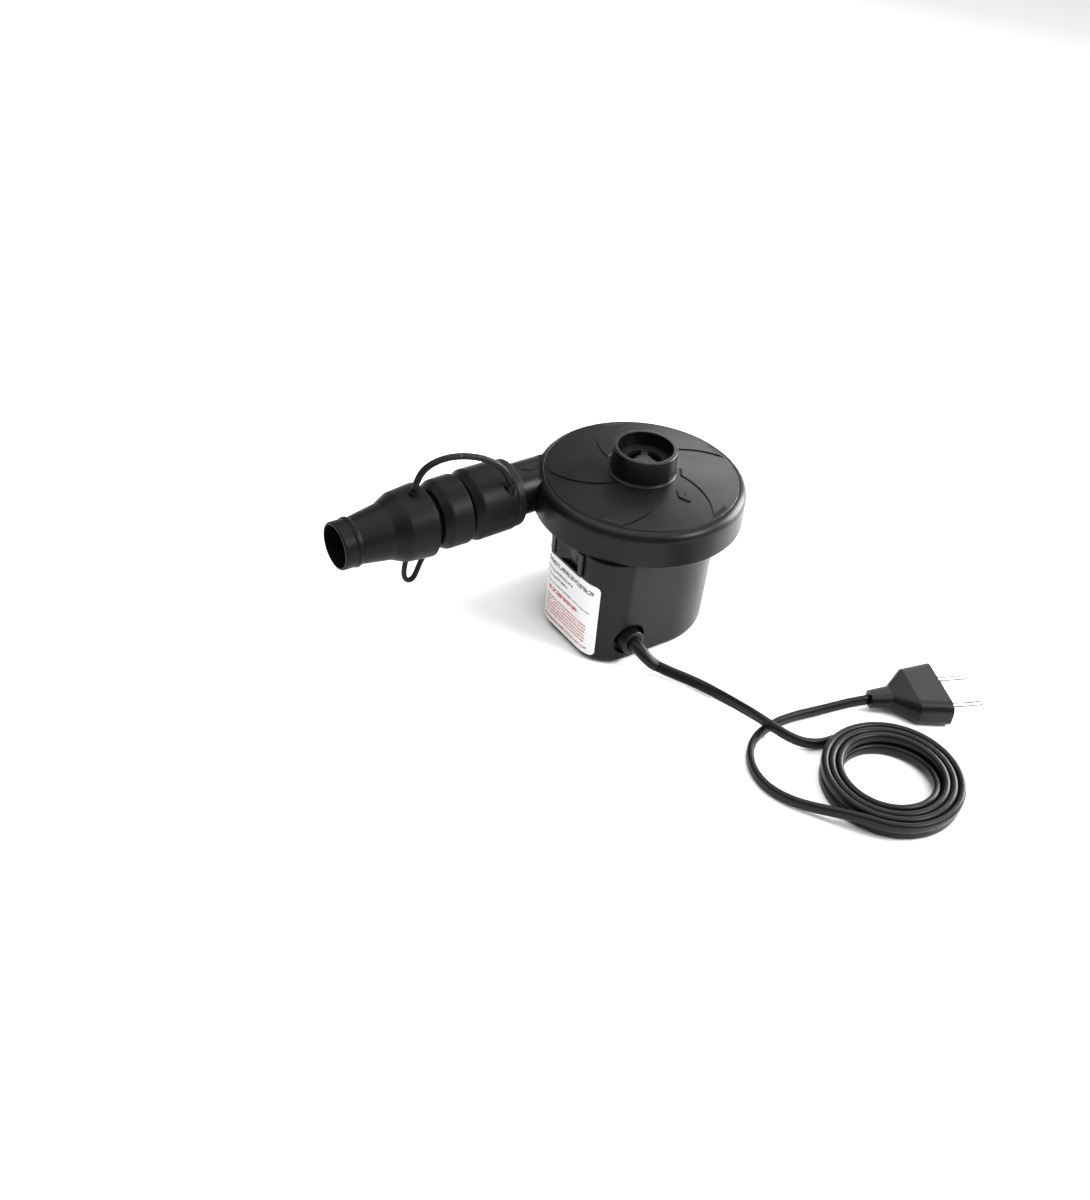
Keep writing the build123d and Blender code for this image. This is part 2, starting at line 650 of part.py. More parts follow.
# ------------------------------------------------------------------ the lead's coil and plug
COIL_CENTRE = (24.0, -166.2)
COIL_INNER = 19.4
COIL_OUTER = 35.0
COIL_HEIGHT = 11.0
# out of the coil, once round the loop, then off to the plug
tail_route = [
    (-5.9, -180.1, 8.1),
    (-11.6, -170.7, 6.3),
    (-17.9, -161.2, 4.3),
    (-23.4, -151.2, 3.0),
    (-26.6, -139.5, 2.75),
    (-24.2, -127.6, 2.75),
    (-16.9, -117.8, 2.75),
    (-6.4, -112.3, 2.75),
    (5.2, -110.9, 2.75),
    (16.2, -111.9, 2.8),
    (26.4, -114.6, 3.2),
    (36.0, -117.6, 4.3),
    (44.6, -120.6, 5.7),
    (52.5, -124.0, 6.7),
]
cord_tail = cord_tube(tail_route, "cord_tail")

with BuildPart() as cord_coil:
    with BuildSketch(Plane.XZ.offset(-COIL_CENTRE[1])) as coil_section:
        with Locations((COIL_CENTRE[0] + (COIL_INNER + COIL_OUTER) / 2, COIL_HEIGHT / 2)):
            RectangleRounded(COIL_OUTER - COIL_INNER, COIL_HEIGHT, 2.4)
    revolve(coil_section.sketch, axis=Axis((*COIL_CENTRE, 0), (0, 0, 1)))
    add(power_cord.part, mode=Mode.SUBTRACT)
    add(cord_tail.part, mode=Mode.SUBTRACT)
save(cord_coil, "cord_coil")

PLUG_THICK = 13.7
plug_start = Vector(52.5, -124.0, 6.85)
plug_heading = Vector(0.92, -0.392, 0)
plug_plane = Plane(plug_start, x_dir=plug_heading.cross(Vector(0, 0, 1)), z_dir=plug_heading)
PLUG_PIN_GAP = 18.6
with BuildPart() as plug_body:
    # narrow neck, waist and a wide flat face, all lying flat
    with BuildSketch(plug_plane) as neck:
        RectangleRounded(8.4, 7.4, 3)
    with BuildSketch(plug_plane.offset(10)) as neck_end:
        RectangleRounded(11, 9, 3.5)
    loft([neck.sketch, neck_end.sketch])
    with BuildSketch(plug_plane.offset(20)) as shoulder:
        RectangleRounded(30, PLUG_THICK, 5)
    loft([neck_end.sketch, shoulder.sketch])
    with BuildSketch(plug_plane.offset(20)) as front:
        RectangleRounded(30, PLUG_THICK, 5)
    with BuildSketch(plug_plane.offset(35.5)) as face:
        RectangleRounded(35.3, PLUG_THICK, 5)
    loft([front.sketch, face.sketch])
save(plug_body, "plug_body")

with BuildPart() as plug_pins:
    with BuildSketch(plug_plane.offset(35.5)):
        with Locations((PLUG_PIN_GAP / 2, 0), (-PLUG_PIN_GAP / 2, 0)):
            Circle(2.0)
    extrude(amount=19)
    fillet(plug_pins.edges().group_by(Axis(plug_start, plug_heading))[-1], 1.4)
save(plug_pins, "plug_pins")

# ------------------------------------------------------------------ nozzle adapters
with BuildPart() as spigot_gasket:
    turn(
        [(57.4, SPIGOT_RADIUS + 0.02), (57.4, 16.6, 0.8), (61.9, 16.6, 0.8), (61.9, 12.62)],
        outlet_profile,
        outlet_axis,
    )
save(spigot_gasket, "spigot_gasket")

sleeve_1 = SPIGOT_RADIUS + SLIDE_FIT
with BuildPart() as adapter_1:
    turn(
        [
            (62.4, sleeve_1),
            (62.4, 13.9),
            (72, 13.9),
            (72, 16.0),
            (62.4, 16.0),
            (62.4, 17.2),
            (80.5, 17.4, 2.5),
            (84.6, 14.6, 1.0),
            (84.6, 13.0),
            (97.5, 13.0, 0.6),
            (97.5, 10.6),
            (79, 10.3),
            (79, sleeve_1),
        ],
        outlet_profile,
        outlet_axis,
    )
    # post that the long strap ends over
    with BuildSketch(Plane.XY.offset(OUTLET_Z + 7.5)) as strap_post:
        with Locations((-65.4, 16.5)):
            Circle(2.3)
    extrude(strap_post.sketch, amount=6.2)
save(adapter_1, "adapter_1")

sleeve_2 = 13.0 + SLIDE_FIT
with BuildPart() as adapter_2:
    turn(
        [
            (86.4, sleeve_2),
            (86.4, 14.1),
            (93, 14.1),
            (93, 15.8),
            (86.4, 15.8),
            (86.4, 17.0, 0.6),
            (97, 16.8, 2.5),
            (101.2, 14.3, 1.0),
            (101.2, 12.2),
            (113.5, 12.2, 0.6),
            (113.5, 9.9),
            (98.5, 9.9),
            (98.5, sleeve_2),
        ],
        outlet_profile,
        outlet_axis,
    )
save(adapter_2, "adapter_2")

sleeve_3 = 12.2 + SLIDE_FIT
NOZZLE_END = 150.2
with BuildPart() as adapter_3:
    turn(
        [
            (105.4, sleeve_3),
            (105.4, 13.5),
            (114, 13.5),
            (114, 16.2),
            (105.4, 16.2),
            (105.4, 17.9, 0.6),
            (118.6, 16.7, 3.0),
            (125.6, 13.5, 2.5),
            (141, 11.1),
            (142.2, 11.9, 0.3),
            (143.4, 11.9, 0.3),
            (144.2, 11.4),
            (NOZZLE_END, 11.4, 0.8),
            (NOZZLE_END, 10.2),
            (116, 9.8),
            (116, sleeve_3),
        ],
        outlet_profile,
        outlet_axis,
    )
    # post for the long strap
    with BuildSketch(Plane.XY.offset(OUTLET_Z + 16.2)) as strap_foot:
        with Locations((-110.8, 27.3)):
            Circle(2.6)
    extrude(strap_foot.sketch, amount=2.6)
save(adapter_3, "adapter_3")

STRAP_A_RADIUS = 1.6
STRAP_B_RADIUS = 1.3
strap_a_route = [
    (-110.8, 27.3, 86.8),
    (-109.3, 26.9, 93.5),
    (-104.5, 25.7, 99.5),
    (-95.5, 23.6, 102.3),
    (-84.5, 21.1, 101.0),
    (-74.5, 18.7, 96.5),
    (-67.3, 17.0, 89.4),
    (-65.4, 16.5, 82.8),
]
strap_b_route = [
    (-114.0, 26.5, 51.2),
    (-115.2, 26.5, 46.4),
    (-115.5, 26.5, 42.0),
    (-114.9, 26.5, 38.6),
    (-112.7, 26.5, 36.5),
    (-110.2, 26.5, 37.3),
    (-108.6, 26.5, 40.5),
    (-107.4, 26.5, 43.8),
    (-105.7, 26.5, 47.2),
    (-103.7, 26.5, 51.5),
    (-103.2, 26.5, 55.5),
]
strap_a = cord_tube(strap_a_route, "strap_a", STRAP_A_RADIUS)
strap_b = cord_tube(strap_b_route, "strap_b", STRAP_B_RADIUS)

# ------------------------------------------------------------------ wires inside the housing
WIRE_RADIUS = 0.9
relief_end_y = gland_wall_y + 7
tab_end_x = terminal_x + 5.2
wire_routes = [
    # lead to switch
    [
        (GLAND_X - 1.4, relief_end_y, GLAND_Z + 0.8),
        (GLAND_X - 1.6, relief_end_y + 3.0, 16.2),
        (GLAND_X - 1.9, -26.8, 21.5),
        (GLAND_X - 2.0, -25.4, 29.5),
        (GLAND_X - 1.2, -23.0, 38.0),
        (GLAND_X + 0.8, -19.0, 45.5),
        (GLAND_X + 2.2, -15.6, 50.2),
        (tab_end_x, SWITCH_Y - 5.5, SWITCH_Z),
    ],
    # lead to board
    [
        (GLAND_X + 1.4, relief_end_y, GLAND_Z - 0.8),
        (GLAND_X + 1.0, relief_end_y + 2.8, 14.6),
        (GLAND_X - 1.6, -25.2, 17.2),
        (GLAND_X - 5.4, -21.4, 17.6),
        (BOARD_X + 0.8, -18.4, 16.2),
    ],
    # switch to board
    [
        (tab_end_x, SWITCH_Y, SWITCH_Z),
        (tab_end_x + 3.4, SWITCH_Y + 1.6, 50.2),
        (tab_end_x + 2.6, SWITCH_Y + 4.6, 44.4),
        (tab_end_x - 1.8, SWITCH_Y + 7.2, 38.4),
        (tab_end_x - 6.2, SWITCH_Y + 8.0, 33.2),
        (BOARD_X + 0.8, SWITCH_Y + 7.4, 30.2),
    ],
]
with BuildPart() as internal_wires:
    for wire_route in wire_routes:
        add(cord_tube(wire_route, "internal_wires", WIRE_RADIUS).part, mode=Mode.ADD)
save(internal_wires, "internal_wires")
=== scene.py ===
import json
from math import cos, pi, radians, sin, sqrt

import bmesh
import bpy
from mathutils import Matrix, Vector


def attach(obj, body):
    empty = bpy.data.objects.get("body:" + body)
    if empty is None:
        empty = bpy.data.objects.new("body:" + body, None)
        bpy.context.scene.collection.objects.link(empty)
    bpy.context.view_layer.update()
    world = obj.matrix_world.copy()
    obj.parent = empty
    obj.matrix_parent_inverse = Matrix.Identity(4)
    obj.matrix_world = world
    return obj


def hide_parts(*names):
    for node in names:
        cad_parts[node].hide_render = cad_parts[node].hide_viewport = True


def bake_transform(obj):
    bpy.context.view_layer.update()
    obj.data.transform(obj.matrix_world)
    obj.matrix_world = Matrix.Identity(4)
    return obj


# Looks for the electric air mattress pump. Places are in metres, in the CAD model's frame.
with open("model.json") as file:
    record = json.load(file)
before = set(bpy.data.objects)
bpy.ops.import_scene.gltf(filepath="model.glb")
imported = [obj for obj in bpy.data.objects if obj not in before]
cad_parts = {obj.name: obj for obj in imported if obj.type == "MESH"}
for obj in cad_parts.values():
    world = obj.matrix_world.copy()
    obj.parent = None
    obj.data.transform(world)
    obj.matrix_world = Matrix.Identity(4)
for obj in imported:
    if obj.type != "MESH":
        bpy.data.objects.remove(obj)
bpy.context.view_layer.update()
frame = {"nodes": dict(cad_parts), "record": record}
nodes = frame["nodes"]

MM = 0.001


# ------------------------------------------------------------------ camera
def make_camera(target, azimuth, elevation, roll, distance, lens):
    """A camera that looks at target; azimuth is counted from the -Y side, in degrees."""
    az, el, turn = radians(azimuth), radians(elevation), radians(roll)
    back = Vector((sin(az) * cos(el), -cos(az) * cos(el), sin(el)))
    right = (-back).cross(Vector((0, 0, 1))).normalized()
    up = right.cross(-back)
    x_axis = right * cos(turn) + up * sin(turn)
    y_axis = up * cos(turn) - right * sin(turn)
    camera = bpy.data.objects.new("camera", bpy.data.cameras.new("camera"))
    bpy.context.scene.collection.objects.link(camera)
    place = Matrix((x_axis, y_axis, back)).transposed().to_4x4()
    place.translation = Vector(target) + back * distance
    camera.matrix_world = place
    camera.data.lens = lens
    camera.data.sensor_width = 36
    camera.data.clip_start = 0.02
    bpy.context.scene.camera = camera


make_camera(
    target=(-0.07473, -0.03009, 0.050),
    azimuth=-38.264,
    elevation=38.307,
    roll=6.0,
    distance=0.650,
    lens=42.96,
)


# ------------------------------------------------------------------ tubes along a smooth line
def new_object(name, build):
    """An object in the scene from a bmesh, which is freed."""
    mesh = bpy.data.meshes.new(name)
    build.to_mesh(mesh)
    build.free()
    piece = bpy.data.objects.new(name, mesh)
    bpy.context.scene.collection.objects.link(piece)
    return piece


def smooth_line(route):
    """Points along the NURBS line that a list of control points, in millimetres, steers."""
    curve = bpy.data.curves.new("route", "CURVE")
    curve.dimensions = "3D"
    spline = curve.splines.new("NURBS")
    spline.points.add(len(route) - 1)
    for point, place in zip(spline.points, route):
        point.co = (place[0] * MM, place[1] * MM, place[2] * MM, 1)
    spline.order_u = 3
    spline.use_endpoint_u = True
    spline.resolution_u = 8
    holder = bpy.data.objects.new("route", curve)
    mesh = bpy.data.meshes.new_from_object(holder)
    line = [vertex.co.copy() for vertex in mesh.vertices]
    bpy.data.objects.remove(holder)
    bpy.data.meshes.remove(mesh)
    kept = [line[0]]
    for point in line[1:]:
        if (point - kept[-1]).length > 1e-5:
            kept.append(point)
    return kept


def line_length(line):
    return sum((b - a).length for a, b in zip(line, line[1:]))


def oval(wide, thick, count=24):
    """Outline of a flat lead: two half rounds joined by straight sides."""
    flat = (wide - thick) / 2
    outline = []
    for k in range(count):
        turn = 2 * pi * (k + 0.5) / count
        shift = flat if cos(turn) > 0 else -flat
        outline.append((shift + thick / 2 * cos(turn), thick / 2 * sin(turn)))
    return outline


def tube(name, line, outline, wide_way):
    """A closed tube along a line; wide_way(share of the length) says where its wide side points."""
    build = bmesh.new()
    rings = []
    last = len(line) - 1
    for i, here in enumerate(line):
        heading = (line[min(i + 1, last)] - line[max(i - 1, 0)]).normalized()
        wide = wide_way(i / last)
        wide = (wide - heading * wide.dot(heading)).normalized()
        thin = heading.cross(wide)
        rings.append([build.verts.new(here + wide * x + thin * y) for x, y in outline])
    count = len(outline)
    for a, b in zip(rings, rings[1:]):
        for k in range(count):
            build.faces.new((a[k], a[(k + 1) % count], b[(k + 1) % count], b[k]))
    build.faces.new(reversed(rings[0]))
    build.faces.new(rings[-1])
    bmesh.ops.recalc_face_normals(build, faces=build.faces)
    for face in build.faces:
        face.smooth = len(face.verts) == 4
    return new_object(name, build)


# ------------------------------------------------------------------ mains lead
LEAD_WIDE = 5.4 * MM
LEAD_THICK = 3.4 * MM
lead_route = [
    (-22.7, -55.4, 7.4),
    (-17.6, -60.7, 5.0),
    (-12.6, -66.6, 3.6),
    (-8.7, -73.8, 3.0),
    (-6.3, -82.0, 3.4),
    (-5.2, -90.8, 4.9),
    (-4.7, -99.6, 6.8),
    (-4.1, -107.6, 8.3),
    (-2.6, -115.2, 8.3),
    (0.8, -122.2, 6.3),
    (6.0, -128.0, 4.2),
    (12.6, -131.6, 3.0),
    (20.0, -133.2, 2.8),
]
tail_route = [
    (-5.9, -180.1, 8.1),
    (-11.6, -170.7, 6.3),
    (-17.9, -161.2, 4.3),
    (-23.4, -151.2, 3.0),
    (-26.6, -139.5, 2.75),
    (-24.2, -127.6, 2.75),
    (-16.9, -117.8, 2.75),
    (-6.4, -112.3, 2.75),
    (5.2, -110.9, 2.75),
    (16.2, -111.9, 2.8),
    (26.4, -114.6, 3.2),
    (36.0, -117.6, 4.3),
    (44.6, -120.6, 5.7),
    (52.5, -124.0, 6.7),
]
COIL_CENTRE = (24.0, -166.2)
COIL_TURNS = 6.70
COIL_START = 98.0            # degrees, where the lead joins the coil
COIL_WIDEST = 33.0
COIL_PITCH = 3.5             # from one turn to the next, sideways
COIL_POINTS_PER_TURN = 20
COIL_LOW = 2.75              # height of the lower layer's middle
COIL_STEP = 5.4              # from the lower layer up to the upper one
COIL_WANDER = 0.25           # how far the turns stray sideways


def coil_route():
    """Turns that wind inward on the floor, step up, and wind outward on top of themselves."""
    route = []
    half = COIL_TURNS / 2
    count = round(COIL_TURNS * COIL_POINTS_PER_TURN)
    for k in range(1, count):
        done = COIL_TURNS * k / count
        inward = half - abs(done - half)
        climb = min(max((done - half) / 0.5 + 0.5, 0), 1)
        climb = climb * climb * (3 - 2 * climb)
        stray = COIL_WANDER * sin(2.3 * done) * sin(5 * done)
        reach = COIL_WIDEST - COIL_PITCH * inward + stray
        turn = radians(COIL_START - 360 * done)
        x = COIL_CENTRE[0] + reach * cos(turn)
        y = COIL_CENTRE[1] + reach * sin(turn)
        route.append((x, y, COIL_LOW + COIL_STEP * climb))
    return route


cord_line = smooth_line(lead_route + coil_route() + tail_route)
cord_length = line_length(cord_line)


TILTED_LENGTH = 0.06
TILTED_WAY = Vector((0.70, 0.14, 0.70))


def lead_way(share):
    """The lead lies tilted near the pump and then turns until it stands on its edge."""
    upright = min(max(share * cord_length / TILTED_LENGTH, 0), 1)
    return TILTED_WAY.lerp(Vector((0, 0, 1)), upright)


cord = tube("mains_lead", cord_line, oval(LEAD_WIDE, LEAD_THICK), lead_way)
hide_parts("power_cord", "cord_coil", "cord_tail")
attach(cord, "pump_body")

# ------------------------------------------------------------------ adapter straps
strap_a_route = [
    (-110.8, 27.3, 86.8),
    (-109.3, 26.9, 93.5),
    (-104.5, 25.7, 99.5),
    (-95.5, 23.6, 102.3),
    (-84.5, 21.1, 101.0),
    (-74.5, 18.7, 96.5),
    (-67.3, 17.0, 89.4),
    (-65.4, 16.5, 82.8),
]
strap_b_route = [
    (-114.0, 26.5, 51.2),
    (-115.2, 26.5, 46.4),
    (-115.5, 26.5, 42.0),
    (-114.9, 26.5, 38.6),
    (-112.7, 26.5, 36.5),
    (-110.2, 26.5, 37.3),
    (-108.6, 26.5, 40.5),
    (-107.4, 26.5, 43.8),
    (-105.7, 26.5, 47.2),
    (-103.7, 26.5, 51.5),
    (-103.2, 26.5, 55.5),
]


def strap(name, line, width, thick, stands_for):
    """A rubber strap that stretches between two adapters."""
    piece = tube(name, line, oval(width, thick, 20), lambda share: Vector((0, 1, 0)))
    if stands_for:
        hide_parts(stands_for)
    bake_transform(piece)
    return piece


long_line = smooth_line(strap_a_route)
middle = len(long_line) // 2
straps = [
    strap("strap_a_outer", long_line[: middle + 1], 3.3 * MM, 3.0 * MM,
          "strap_a"),
    strap("strap_a_inner", long_line[: middle - 1 : -1], 3.3 * MM, 3.0 * MM,
          None),
    strap("strap_b_loop", smooth_line(strap_b_route), 2.7 * MM, 2.4 * MM,
          "strap_b"),
]


# ------------------------------------------------------------------ materials
def linear(shade):
    """A screen colour, 0 to 255, as scene light."""
    return tuple(
        (c / 255 / 12.92) if c <= 10 else ((c / 255 + 0.055) / 1.055) ** 2.4 for c in shade
    ) + (1,)


class Shader:
    """A material's node tree, with a short way to add and join nodes."""

    def __init__(self, name):
        self.material = bpy.data.materials.new(name)
        self.material.use_nodes = True
        self.tree = self.material.node_tree
        self.surface = self.tree.nodes["Principled BSDF"]
        self.place = self.add("ShaderNodeTexCoord").outputs["Object"]

    def add(self, kind, **settings):
        node = self.tree.nodes.new(kind)
        for key, value in settings.items():
            if hasattr(node, key):
                setattr(node, key, value)
            else:
                node.inputs[key].default_value = value
        return node

    def join(self, source, target):
        self.tree.links.new(source, target)

    def noise(self, scale, detail=3.0, roughness=0.55):
        node = self.add("ShaderNodeTexNoise")
        node.inputs["Scale"].default_value = scale
        node.inputs["Detail"].default_value = detail
        node.inputs["Roughness"].default_value = roughness
        self.join(self.place, node.inputs["Vector"])
        return node.outputs["Fac"]

    def remap(self, value, low, high, out_low, out_high):
        node = self.add("ShaderNodeMapRange")
        for index, number in enumerate((low, high, out_low, out_high), start=1):
            node.inputs[index].default_value = number
        self.join(value, node.inputs[0])
        return node.outputs[0]

    def math(self, operation, first, second=None, third=None):
        node = self.add("ShaderNodeMath", operation=operation)
        for index, value in enumerate((first, second, third)):
            if value is None:
                continue
            if isinstance(value, (int, float)):
                node.inputs[index].default_value = value
            else:
                self.join(value, node.inputs[index])
        return node.outputs[0]

    def mix(self, share, first, second):
        node = self.add("ShaderNodeMix", data_type="RGBA")
        self.join(share, node.inputs[0])
        for index, value in ((6, first), (7, second)):
            if isinstance(value, tuple):
                node.inputs[index].default_value = value
            else:
                self.join(value, node.inputs[index])
        return node.outputs[2]

    def bump(self, height, distance, strength=1.0):
        node = self.add("ShaderNodeBump")
        node.inputs["Strength"].default_value = strength
        node.inputs["Distance"].default_value = distance
        self.join(height, node.inputs["Height"])
        self.join(node.outputs[0], self.surface.inputs["Normal"])


def moulded(name, shade, roughness, grain=2600, depth=0.00002, tint=0.12, gloss=0.16):
    """Moulded plastic or rubber: fine grain, soft blotches and specks of dust."""
    s = Shader(name)
    s.surface.inputs["Specular IOR Level"].default_value = gloss
    fine = s.noise(grain, 2.0)
    broad = s.noise(45, 4.0)
    specks = s.noise(900, 2.0, 0.7)
    base = linear(shade)
    darker = tuple(c * (1 - tint) for c in base[:3]) + (1,)
    paler = tuple(min(1, c * (1 + tint) + 0.0008) for c in base[:3]) + (1,)
    colour = s.mix(s.remap(broad, 0.35, 0.65, 0, 1), darker, paler)
    dust = s.remap(specks, 0.70, 0.80, 0, 0.10)
    colour = s.mix(dust, colour, tuple(min(1, c * 1.6 + 0.012) for c in base[:3]) + (1,))
    s.join(colour, s.surface.inputs["Base Color"])
    rough = s.math("ADD", s.remap(broad, 0.3, 0.7, roughness - 0.04, roughness + 0.05),
                   s.remap(fine, 0.3, 0.7, -0.02, 0.02))
    s.join(rough, s.surface.inputs["Roughness"])
    s.bump(fine, depth)
    return s.material


def brushed(name, shade, roughness, stretch=(1, 1, 30)):
    """Turned or rolled metal with fine parallel lines."""
    s = Shader(name)
    s.surface.inputs["Metallic"].default_value = 1.0
    mapping = s.add("ShaderNodeMapping")
    mapping.inputs["Scale"].default_value = stretch
    s.join(s.place, mapping.inputs["Vector"])
    s.place = mapping.outputs[0]
    lines = s.noise(180, 3.0)
    base = linear(shade)
    s.join(s.mix(lines, tuple(c * 0.8 for c in base[:3]) + (1,), base),
           s.surface.inputs["Base Color"])
    s.join(s.remap(lines, 0.3, 0.7, roughness - 0.06, roughness + 0.08),
           s.surface.inputs["Roughness"])
    s.bump(lines, 0.00001)
    return s.material


def printed_label(name):
    """White film with rows of plain cells in place of words, dark above and red below."""
    s = Shader(name)
    split = s.add("ShaderNodeSeparateXYZ")
    s.join(s.place, split.inputs[0])
    across, height = split.outputs["Y"], split.outputs["Z"]

    def band(value, low, high):
        return s.math("COMPARE", value, (low + high) / 2 * MM, (high - low) / 2 * MM)

    def words(pitch, share):
        cells = s.math("FLOOR", s.math("MULTIPLY", across, 1 / (pitch * MM)))
        rows = s.math("FLOOR", s.math("MULTIPLY", height, 1 / (0.45 * MM)))
        join = s.add("ShaderNodeCombineXYZ")
        s.join(cells, join.inputs[0])
        s.join(rows, join.inputs[1])
        hash_node = s.add("ShaderNodeTexWhiteNoise")
        s.join(join.outputs[0], hash_node.inputs["Vector"])
        return s.math("LESS_THAN", hash_node.outputs["Value"], share)

    def row(low, high, left, right, pitch=1.2, share=0.8):
        inside = s.math("MULTIPLY", band(height, low, high), band(across, left, right))
        return s.math("MULTIPLY", inside, words(pitch, share))

    def total(parts):
        result = parts[0]
        for part in parts[1:]:
            result = s.math("MAXIMUM", result, part)
        return result

    dark = total([
        row(38.9, 41.6, -28.6, 8.0, 0.95, 0.74),
        row(34.9, 36.3, -14.0, 8.0, 0.62, 0.72),
        row(31.4, 32.8, -10.0, 8.0, 0.62, 0.72),
        row(27.6, 28.6, -27.0, 8.0, 0.50, 0.74),
    ])
    red = total(
        [row(22.9, 25.4, -19.0, 5.0, 0.95, 0.76)]
        + [row(z, z + 1.0, -26.0, 6.5, 0.45, 0.76) for z in (9.4, 11.3, 13.2, 15.1, 17.0, 18.9)]
        + [row(5.8, 7.2, -27.5, 7.0, 0.60, 0.76)]
    )
    paper = s.mix(s.noise(60), linear((226, 226, 226)), linear((218, 218, 219)))
    colour = s.mix(s.math("MULTIPLY", dark, 0.86), paper, linear((22, 21, 23)))
    colour = s.mix(s.math("MULTIPLY", red, 0.90), colour, linear((168, 28, 24)))
    s.join(colour, s.surface.inputs["Base Color"])
    s.join(s.remap(s.noise(300), 0.3, 0.7, 0.30, 0.38), s.surface.inputs["Roughness"])
    s.bump(s.noise(220), 0.00001)
    return s.material


materials = {
    "housing_shell": moulded("shell_black", (9, 9, 11), 0.32),
    "nozzle_plastic": moulded("adapter_black", (8, 8, 9), 0.42, 2200, 0.00003, gloss=0.11),
    "strap_rubber": moulded("strap_black", (10, 10, 11), 0.45, 1500, 0.00003, gloss=0.16),
    "grille_plastic": moulded("grille_black", (19, 19, 21), 0.38, gloss=0.30),
    "switch_plastic": moulded("switch_black", (8, 8, 10), 0.25, 3000, 0.00001, gloss=0.30),
    "cord_rubber": moulded("lead_black", (8, 8, 9), 0.36, 1300, 0.00003, gloss=0.18),
    "component_black": moulded("component_black", (18, 18, 20), 0.35),
    "impeller_plastic": moulded("impeller_white", (214, 212, 205), 0.45),
    "magnet_ferrite": moulded("ferrite", (50, 49, 48), 0.60, 1200, 0.00005),
    "carbon": moulded("carbon", (30, 30, 31), 0.65, 1200, 0.00005),
    "board_laminate": moulded("board_green", (44, 104, 66), 0.40),
    "wire_sleeve": moulded("wire_brown", (112, 58, 42), 0.42),
    "label_film": printed_label("label_print"),
    "screw_steel": brushed("screw_steel", (172, 174, 176), 0.32),
    "steel_pin": brushed("steel_pin", (180, 182, 184), 0.25),
    "motor_steel": brushed("motor_steel", (150, 152, 154), 0.38),
    "copper_wire": brushed("copper", (184, 110, 60), 0.35),
    "brass_tabs": brushed("brass", (200, 165, 88), 0.30),
    "plug_metal": brushed("nickel", (202, 203, 206), 0.18),
}


def paint(piece, slot_name):
    """Give every material slot of a piece the material of a record slot."""
    if not piece.material_slots:
        piece.data.materials.append(None)
    for holder in piece.material_slots:
        holder.material = materials[slot_name]


for entry in frame["record"]["subparts"]:
    paint(nodes[entry["node"]], entry["material_slot"])
paint(cord, "cord_rubber")
for piece in straps:
    paint(piece, "strap_rubber")


# ------------------------------------------------------------------ small moulded marks
def flat_mark(name, outline, centre, turn, lift, slot_name, body, wrap=None, thick=0.5 * MM):
    """A thin raised shape on a nearly level surface; outline is in millimetres, x forward."""
    build = bmesh.new()
    base = []
    for x, y in outline:
        px = centre[0] + (x * cos(turn) - y * sin(turn)) * MM
        py = centre[1] + (x * sin(turn) + y * cos(turn)) * MM
        base.append(build.verts.new((px, py, wrap(px, py) + lift)))
    face = build.faces.new(base)
    bmesh.ops.triangulate(build, faces=[face])
    grown = bmesh.ops.extrude_face_region(build, geom=build.faces[:])
    for item in grown["geom"]:
        if isinstance(item, bmesh.types.BMVert):
            item.co.z += thick
    bmesh.ops.recalc_face_normals(build, faces=build.faces)
    piece = new_object(name, build)
    bevel = piece.modifiers.new("soft_edge", "BEVEL")
    bevel.width = 0.12 * MM
    bevel.segments = 2
    paint(piece, slot_name)
    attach(piece, body)
    return piece


CONE_LOW, CONE_HIGH = 77.3, 80.6         # heights of the cone's outer and inner edges
CONE_OUTER, CONE_INNER = 51.1, 15.9      # and their radii


def cone_height(x, y):
    """Height of the head's shallow cone."""
    reach = sqrt(x * x + y * y) / MM
    slope = (CONE_HIGH - CONE_LOW) / (CONE_OUTER - CONE_INNER)
    return (CONE_LOW + (CONE_OUTER - reach) * slope) * MM


arrow = [(-4.4, -0.9), (0.6, -0.9), (0.6, -2.6), (4.8, 0), (0.6, 2.6), (0.6, 0.9), (-4.4, 0.9)]
flat_mark("intake_arrow", arrow, (0.004, -0.0265), radians(97), 0.10 * MM, "housing_shell",
          "pump_body", cone_height)


DUCT_Y, DUCT_Z, DUCT_RADIUS = 0.0288, 0.068, 0.0129


def duct_height(_x, y):
    """Height of the outlet duct's top, which is the same all along it."""
    aside = y - DUCT_Y
    return DUCT_Z + sqrt(max(DUCT_RADIUS**2 - aside * aside, 0))


flat_mark("outlet_arrow", arrow, (-0.0475, 0.0265), radians(180), 0, "housing_shell",
          "pump_body", duct_height)

# ring and bar on the rocker's two halves, in a lighter grey than the rocker: a painted highlight on
# the raised marks
ROCKER_PIVOT = Vector((-42.605, -8.5, 52.4)) * MM
ROCKER_LEAN = radians(10)
MARK_SINK, MARK_RISE = 0.1 * MM, 0.18 * MM


def rocker_seat(side):
    """The flat of one rocker half: x along it, y upright, z outward; side 1 is the +Y half."""
    along = Vector((-1.54, 8.0 * side, 0)).normalized()
    outward = Vector((-8.0, -1.54 * side, 0)).normalized()
    seat = Matrix((along, Vector((0, 0, 1)), outward)).transposed().to_4x4()
    seat.translation = Vector((-3.0 * MM, 0, 0)) + along * 4.9 * MM
    return Matrix.Translation(ROCKER_PIVOT) @ Matrix.Rotation(ROCKER_LEAN, 4, "Z") @ seat


def rocker_mark(name, side, loops):
    """A low raised mark made of closed loops of four-cornered sections."""
    build = bmesh.new()
    seat = rocker_seat(side)
    rings = [[build.verts.new(seat @ Vector(corner)) for corner in loop] for loop in loops]
    for a, b in zip(rings, rings[1:] + rings[:1]):
        for k in range(4):
            build.faces.new((a[k], a[(k + 1) % 4], b[(k + 1) % 4], b[k]))
    bmesh.ops.recalc_face_normals(build, faces=build.faces)
    piece = new_object(name, build)
    # The lighter grille plastic on the mark is a painted highlight. It stands in for the glint on
    # the raised ring and bar, which are the rocker's own dark plastic.
    paint(piece, "grille_plastic")
    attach(piece, "rocker")


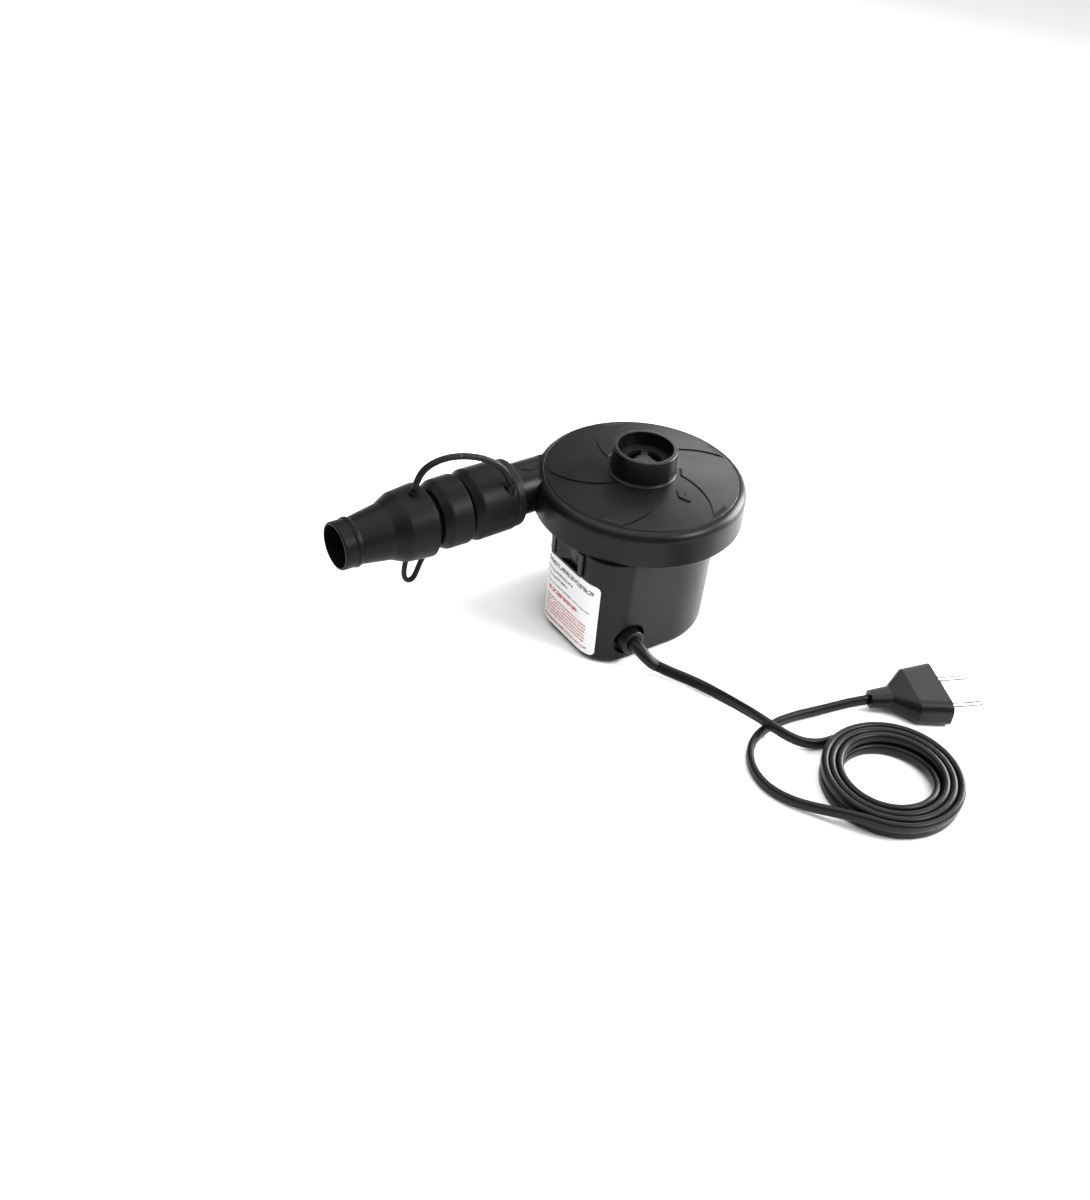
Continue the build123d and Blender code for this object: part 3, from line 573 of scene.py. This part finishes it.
def oval_loop(wide, tall, line=0.30, count=32):
    """Square sections round an oval, from just under the surface to just above it."""
    loops = []
    for k in range(count):
        a = 2 * pi * k / count
        outer = (wide * MM * cos(a), tall * MM * sin(a))
        inner = ((wide - line) * MM * cos(a), (tall - line) * MM * sin(a))
        loops.append([(*inner, -MARK_SINK), (*outer, -MARK_SINK),
                      (*outer, MARK_RISE), (*inner, MARK_RISE)])
    return loops


rocker_mark("rocker_ring_mark", 1, oval_loop(1.7, 1.7))
rocker_mark("rocker_bar_mark", -1, oval_loop(0.42, 1.8))

# ------------------------------------------------------------------ floor and light
FLOOR_HALF = 6
floor_build = bmesh.new()
bmesh.ops.create_grid(floor_build, x_segments=1, y_segments=1, size=FLOOR_HALF)
floor = new_object("floor", floor_build)
floor_shader = Shader("floor_white")
floor_shader.surface.inputs["Base Color"].default_value = (0.95, 0.95, 0.95, 1)
floor_shader.surface.inputs["Roughness"].default_value = 0.9
floor_shader.surface.inputs["Specular IOR Level"].default_value = 0.1
floor.data.materials.append(floor_shader.material)

world = bpy.data.worlds.new("studio")
bpy.context.scene.world = world
world.use_nodes = True
world.node_tree.nodes["Background"].inputs["Color"].default_value = (1, 1, 1, 1)
world.node_tree.nodes["Background"].inputs["Strength"].default_value = 0.50
bpy.context.scene.view_settings.view_transform = "Standard"


def softbox(name, place, aim, size, power):
    """A large square light that faces a point."""
    light = bpy.data.lights.new(name, "AREA")
    light.shape = "RECTANGLE"
    light.size, light.size_y = size
    light.energy = power
    lamp = bpy.data.objects.new(name, light)
    bpy.context.scene.collection.objects.link(lamp)
    lamp.location = place
    lamp.rotation_euler = (Vector(aim) - Vector(place)).to_track_quat("-Z", "Y").to_euler()


softbox("right_box", (0.75, -0.12, 0.26), (0, 0, 0.04), (0.45, 0.45), 14)
softbox("front_box", (0.34, -0.60, 0.62), (0, 0, 0.07), (0.30, 0.30), 7)
softbox("back_box", (0.74, 0.52, 0.58), (0, 0, 0.08), (0.40, 0.40), 3)
softbox("top_box", (-0.1, 0.1, 1.3), (0, 0, 0), (1.6, 1.6), 22)
